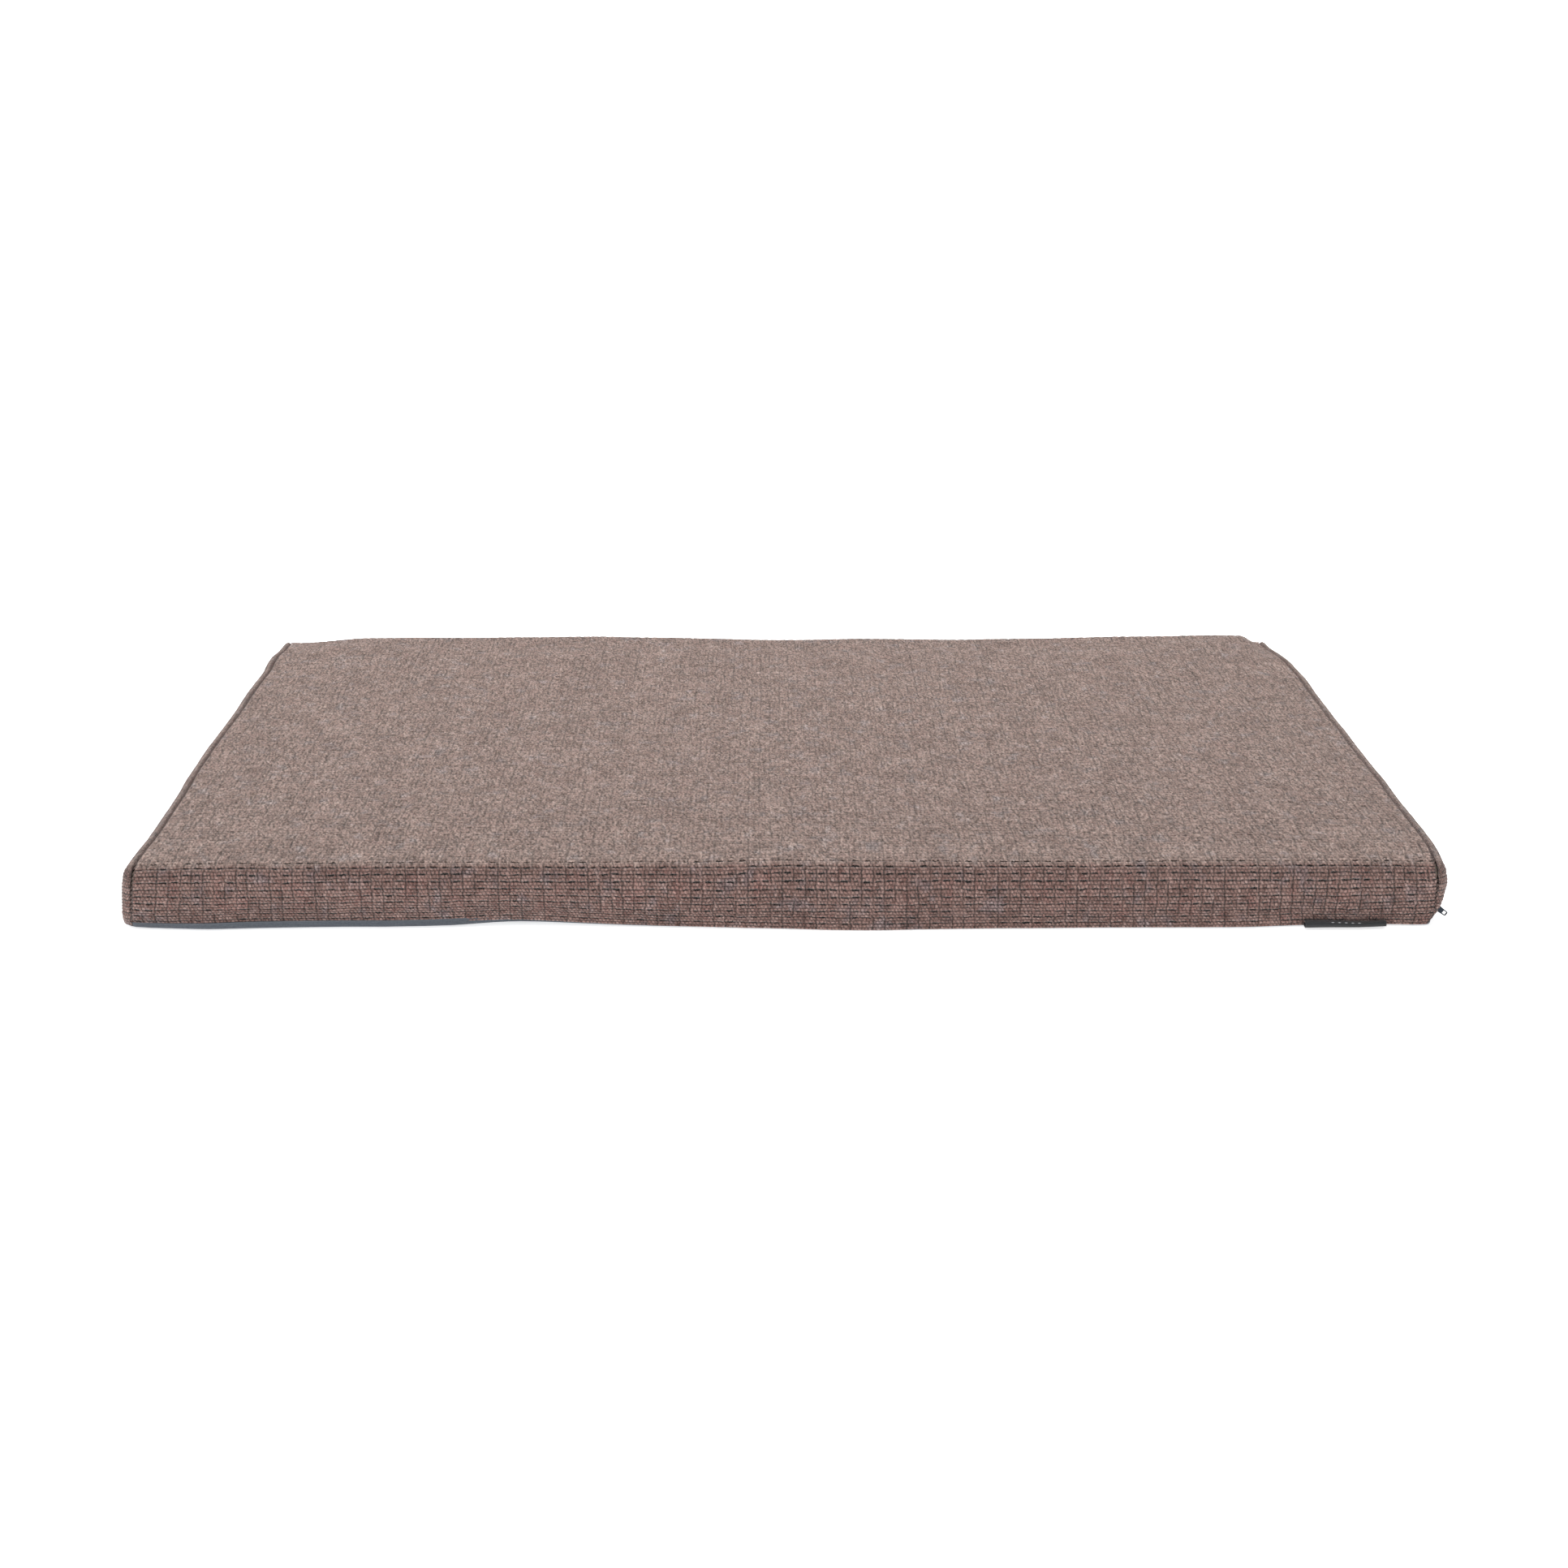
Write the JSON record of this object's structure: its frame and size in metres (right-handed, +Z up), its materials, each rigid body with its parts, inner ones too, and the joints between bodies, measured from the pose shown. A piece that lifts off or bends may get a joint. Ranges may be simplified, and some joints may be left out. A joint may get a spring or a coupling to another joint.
{
  "type": "pet cushion bed",
  "caption": "Thin rectangular foam pet mat in a zipped chenille cover with an anti-slip base cloth, a zip along its lower right edge and a small loop label at the front.",
  "frame": {"origin": "middle of the underside, on the floor", "axes": "+X along the long side to the right as seen from the front, +Y to the back, +Z up; the loop label is on the front face and the zip along the lower right edge"},
  "size_m": [1.0051, 0.6379, 0.05],
  "materials": {
    "chenille": "matte",
    "base_cloth": "matte",
    "foam": "matte",
    "seam_thread": "matte",
    "base_thread": "matte",
    "zip_tape": "matte",
    "zip_coil": "satin",
    "zip_metal": "satin",
    "label_ribbon": "satin",
    "care_satin": "satin"
  },
  "bodies": {
    "cushion": {"cover_top_wrap": "chenille", "side_panel_left": "chenille", "side_panel_right": "chenille", "base_panel": "base_cloth", "foam_core": "foam", "side_seam_thread_left": "seam_thread", "side_seam_thread_right": "seam_thread", "base_seam_thread": "base_thread", "zip_tape_upper": "zip_tape", "zip_tape_lower": "zip_tape", "zip_coil_upper": "zip_coil", "zip_coil_lower": "zip_coil", "zip_top_stop_upper": "zip_metal", "zip_top_stop_lower": "zip_metal", "zip_bottom_stop": "zip_metal", "zip_stitch_upper": "base_thread", "zip_stitch_lower": "base_thread", "loop_label": "label_ribbon", "care_label": "care_satin"},
    "zip_slider_body": {"zip_slider": "zip_metal"},
    "zip_pull_body": {"zip_pull": "zip_metal"}
  },
  "joints": [
    {"name": "zip_slide", "type": "slide", "parent": "cushion", "child": "zip_slider_body", "axis": [0, 1, 0], "range_m": [0, 0.59]},
    {"name": "zip_pull_swing", "type": "hinge", "parent": "zip_slider_body", "child": "zip_pull_body", "pos_m": [0.49182, -0.2995, 0.01198], "axis": [0.5878, 0, 0.809], "range_deg": [-80, 80]}
  ]
}
